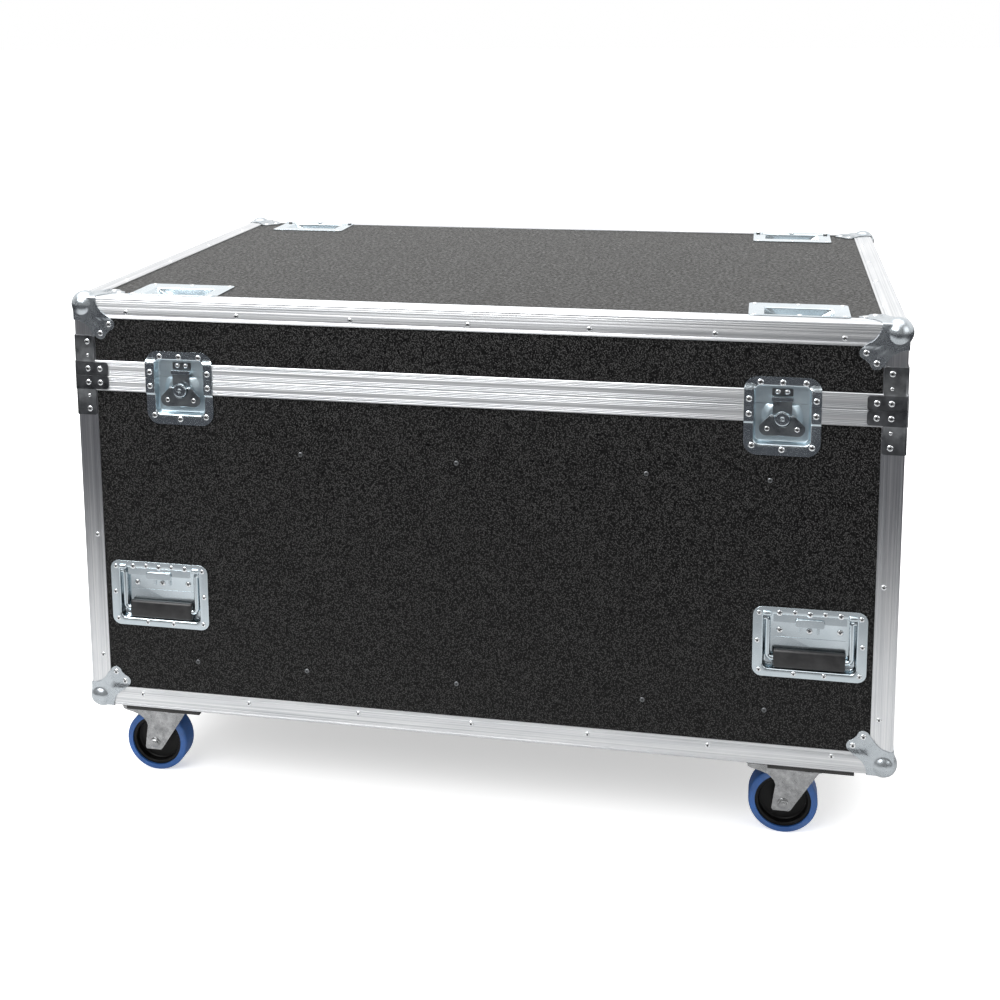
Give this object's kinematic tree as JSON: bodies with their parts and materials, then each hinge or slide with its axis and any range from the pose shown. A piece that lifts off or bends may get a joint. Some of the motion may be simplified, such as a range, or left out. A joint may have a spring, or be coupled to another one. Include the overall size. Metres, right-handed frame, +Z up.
{
  "type": "equipment case",
  "caption": "Wheeled equipment case with a rear-hinged lid, aluminium edges, ball corners, recessed butterfly latches, sprung handles, stacking cups and swivel castors.",
  "frame": {"origin": "on the floor, under the middle of the case", "axes": "+X along the case to its right, +Z up; the latches face -Y and the lid hinges at +Y"},
  "size_m": [1.214, 0.814, 0.789],
  "materials": {
    "aluminium": "mill",
    "zinc": "zinc plated",
    "dark_zinc": "dark plated",
    "galvanised": "galvanised",
    "laminate": "pebbled laminate",
    "birch": "plywood",
    "grip": "moulded",
    "hub": "moulded",
    "tyre": "elastic rubber"
  },
  "bodies": {
    "base": {"base_edge_frame": "aluminium", "base_closure_frame": "aluminium", "base_front_panel": "laminate", "base_back_panel": "laminate", "base_left_panel": "laminate", "base_right_panel": "laminate", "base_floor_panel": "birch", "base_corner_front_left": "zinc", "base_corner_front_right": "zinc", "base_corner_back_left": "zinc", "base_corner_back_right": "zinc", "hinge_base_leaf": "zinc", "hinge_pin": "dark_zinc", "latch_left_lower_dish": "zinc", "latch_right_lower_dish": "zinc", "handle_front_left_dish": "zinc", "handle_front_right_dish": "zinc", "handle_back_left_dish": "zinc", "handle_back_right_dish": "zinc", "castor_front_left_plate": "galvanised", "castor_front_right_plate": "galvanised", "castor_back_left_plate": "galvanised", "castor_back_right_plate": "galvanised"},
    "lid": {"lid_edge_frame": "aluminium", "lid_closure_frame": "aluminium", "lid_top_panel": "laminate", "lid_wall_panel": "laminate", "lid_corner_front_left": "zinc", "castor_cup_front_left": "zinc", "lid_corner_front_right": "zinc", "castor_cup_front_right": "zinc", "lid_corner_back_left": "zinc", "castor_cup_back_left": "zinc", "lid_corner_back_right": "zinc", "castor_cup_back_right": "zinc", "hinge_lid_leaf": "zinc", "latch_left_upper_dish": "zinc", "latch_right_upper_dish": "zinc"},
    "latch_left_arm": {"latch_left_arm": "dark_zinc"},
    "latch_left_spindle": {"latch_left_spindle": "zinc"},
    "latch_left_wing": {"latch_left_wing": "dark_zinc"},
    "latch_right_arm": {"latch_right_arm": "dark_zinc"},
    "latch_right_spindle": {"latch_right_spindle": "zinc"},
    "latch_right_wing": {"latch_right_wing": "dark_zinc"},
    "handle_front_left_bail": {"handle_front_left_bail": "grip"},
    "handle_front_right_bail": {"handle_front_right_bail": "grip"},
    "handle_back_left_bail": {"handle_back_left_bail": "grip"},
    "handle_back_right_bail": {"handle_back_right_bail": "grip"},
    "castor_front_left_fork": {"castor_front_left_fork": "galvanised"},
    "castor_front_left_wheel": {"castor_front_left_hub": "hub", "castor_front_left_tyre": "tyre"},
    "castor_front_right_fork": {"castor_front_right_fork": "galvanised"},
    "castor_front_right_wheel": {"castor_front_right_hub": "hub", "castor_front_right_tyre": "tyre"},
    "castor_back_left_fork": {"castor_back_left_fork": "galvanised"},
    "castor_back_left_wheel": {"castor_back_left_hub": "hub", "castor_back_left_tyre": "tyre"},
    "castor_back_right_fork": {"castor_back_right_fork": "galvanised"},
    "castor_back_right_wheel": {"castor_back_right_hub": "hub", "castor_back_right_tyre": "tyre"}
  },
  "joints": [
    {"name": "lid_hinge", "type": "hinge", "parent": "base", "child": "lid", "pos_m": [0, 0.404, 0.6626], "axis": [-1, 0, 0], "range_deg": [0, 105]},
    {"name": "latch_left_turn", "type": "hinge", "parent": "base", "child": "latch_left_spindle", "pos_m": [-0.437, -0.39, 0.6444], "axis": [0, -1, 0], "range_deg": [0, 180]},
    {"name": "latch_left_draw", "type": "slide", "parent": "base", "child": "latch_left_arm", "axis": [0, 0, 1], "range_m": [0, 0.008]},
    {"name": "latch_left_fold", "type": "hinge", "parent": "latch_left_spindle", "child": "latch_left_wing", "pos_m": [-0.437, -0.3962, 0.6476], "axis": [-1, 0, 0], "range_deg": [0, 90]},
    {"name": "latch_right_turn", "type": "hinge", "parent": "base", "child": "latch_right_spindle", "pos_m": [0.437, -0.39, 0.6444], "axis": [0, -1, 0], "range_deg": [0, 180]},
    {"name": "latch_right_draw", "type": "slide", "parent": "base", "child": "latch_right_arm", "axis": [0, 0, 1], "range_m": [0, 0.008]},
    {"name": "latch_right_fold", "type": "hinge", "parent": "latch_right_spindle", "child": "latch_right_wing", "pos_m": [0.437, -0.3962, 0.6476], "axis": [-1, 0, 0], "range_deg": [0, 90]},
    {"name": "handle_front_left_swing", "type": "hinge", "parent": "base", "child": "handle_front_left_bail", "pos_m": [-0.482, -0.3937, 0.356], "axis": [-1, 0, 0], "range_deg": [0, 90], "stiffness_Nm_per_rad": 0.4, "springref_deg": -17.19},
    {"name": "handle_front_right_swing", "type": "hinge", "parent": "base", "child": "handle_front_right_bail", "pos_m": [0.482, -0.3937, 0.356], "axis": [-1, 0, 0], "range_deg": [0, 90], "stiffness_Nm_per_rad": 0.4, "springref_deg": -17.19},
    {"name": "handle_back_left_swing", "type": "hinge", "parent": "base", "child": "handle_back_left_bail", "pos_m": [-0.482, 0.3937, 0.356], "axis": [1, 0, 0], "range_deg": [0, 90], "stiffness_Nm_per_rad": 0.4, "springref_deg": -17.19},
    {"name": "handle_back_right_swing", "type": "hinge", "parent": "base", "child": "handle_back_right_bail", "pos_m": [0.482, 0.3937, 0.356], "axis": [1, 0, 0], "range_deg": [0, 90], "stiffness_Nm_per_rad": 0.4, "springref_deg": -17.19},
    {"name": "castor_front_left_swivel", "type": "hinge", "parent": "base", "child": "castor_front_left_fork", "pos_m": [-0.489, -0.322, 0.115], "axis": [0, 0, 1], "continuous": true},
    {"name": "castor_front_left_roll", "type": "hinge", "parent": "castor_front_left_fork", "child": "castor_front_left_wheel", "pos_m": [-0.525, -0.322, 0.05], "axis": [0, 1, 0], "continuous": true},
    {"name": "castor_front_right_swivel", "type": "hinge", "parent": "base", "child": "castor_front_right_fork", "pos_m": [0.489, -0.322, 0.115], "axis": [0, 0, 1], "continuous": true},
    {"name": "castor_front_right_roll", "type": "hinge", "parent": "castor_front_right_fork", "child": "castor_front_right_wheel", "pos_m": [0.453, -0.322, 0.05], "axis": [0, 1, 0], "continuous": true},
    {"name": "castor_back_left_swivel", "type": "hinge", "parent": "base", "child": "castor_back_left_fork", "pos_m": [-0.489, 0.322, 0.115], "axis": [0, 0, 1], "continuous": true},
    {"name": "castor_back_left_roll", "type": "hinge", "parent": "castor_back_left_fork", "child": "castor_back_left_wheel", "pos_m": [-0.525, 0.322, 0.05], "axis": [0, 1, 0], "continuous": true},
    {"name": "castor_back_right_swivel", "type": "hinge", "parent": "base", "child": "castor_back_right_fork", "pos_m": [0.489, 0.322, 0.115], "axis": [0, 0, 1], "continuous": true},
    {"name": "castor_back_right_roll", "type": "hinge", "parent": "castor_back_right_fork", "child": "castor_back_right_wheel", "pos_m": [0.453, 0.322, 0.05], "axis": [0, 1, 0], "continuous": true}
  ],
  "couplings": [
    {"joint": "latch_left_draw", "follows": "latch_left_turn", "m_per_rad": 0.0025465},
    {"joint": "latch_right_draw", "follows": "latch_right_turn", "m_per_rad": 0.0025465}
  ]
}
